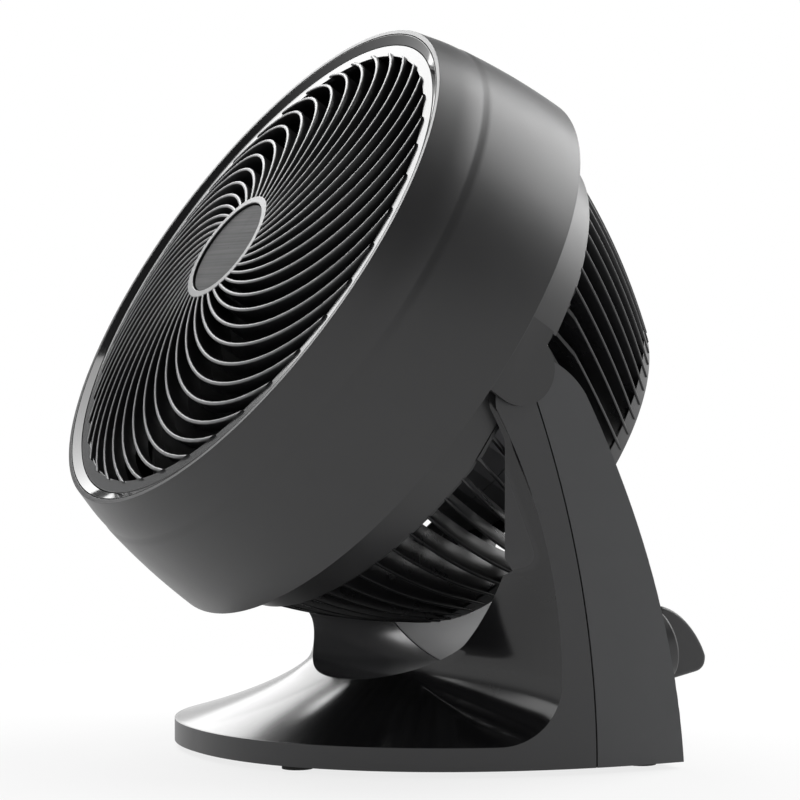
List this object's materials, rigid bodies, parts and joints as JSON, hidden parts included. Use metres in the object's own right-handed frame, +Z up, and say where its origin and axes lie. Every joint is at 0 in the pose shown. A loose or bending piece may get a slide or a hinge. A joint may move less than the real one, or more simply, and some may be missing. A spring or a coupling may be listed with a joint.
{
  "type": "air circulator fan",
  "caption": "Round air circulator fan head with a spiral front grille, tilting between the arms of a U-shaped stand with a speed knob at the back.",
  "frame": {"origin": "on the floor under the middle of the fan's bounding box", "axes": "+Z up, the fan blows towards -Y and upwards, +X to the right of someone facing its front grille"},
  "size_m": [0.3134, 0.2868, 0.3646],
  "materials": {
    "gloss_black": "polished moulding",
    "satin_black": "fine satin texture",
    "grey_moulding": "fine satin texture, a shade lighter than the shroud",
    "rib_grey": "satin",
    "disc_grey": "faintly streaked, bare",
    "basket_black": "satin",
    "dark_moulding": "plain",
    "propeller_black": "satin",
    "rubber": "matt",
    "steel": "turned",
    "iron": "dull",
    "copper": null
  },
  "bodies": {
    "base": {"base_front_shell": "gloss_black", "base_rear_cover": "grey_moulding", "base_bottom_plate": "dark_moulding", "front_right_foot": "rubber", "front_left_foot": "rubber", "rear_right_foot": "rubber", "rear_left_foot": "rubber", "switch_bush": "steel", "rotary_switch": "dark_moulding", "cord_inlet": "rubber", "right_friction_washer": "rubber", "left_friction_washer": "rubber"},
    "head": {"shroud": "satin_black", "duct_ring": "dark_moulding", "bezel_ring": "gloss_black", "neck_ring": "satin_black", "front_grille": "rib_grey", "hub_disc": "disc_grey", "rear_grille": "basket_black", "rear_cap": "satin_black", "motor_rear_bell": "iron", "motor_front_bell": "iron", "stator": "iron", "rear_winding": "copper", "front_winding": "copper", "rear_bearing": "steel", "front_bearing": "steel", "right_pivot_pin": "steel", "left_pivot_pin": "steel"},
    "fan_wheel": {"propeller": "propeller_black", "propeller_nut": "steel", "motor_shaft": "steel", "rotor": "iron"},
    "knob": {"speed_knob": "satin_black", "switch_shaft": "steel"}
  },
  "joints": [
    {"name": "head_tilt", "type": "hinge", "parent": "base", "child": "head", "pos_m": [0, 0.0146, 0.1935], "axis": [-1, 0, 0], "range_deg": [-33.6, 38]},
    {"name": "propeller_spin", "type": "hinge", "parent": "head", "child": "fan_wheel", "pos_m": [0, 0.0146, 0.1935], "axis": [0, -0.8329, 0.5534], "continuous": true},
    {"name": "speed_knob_turn", "type": "hinge", "parent": "base", "child": "knob", "pos_m": [0.114, 0.09828, 0.057], "axis": [0, 0.9783, 0.207], "range_deg": [-120, 0]}
  ]
}
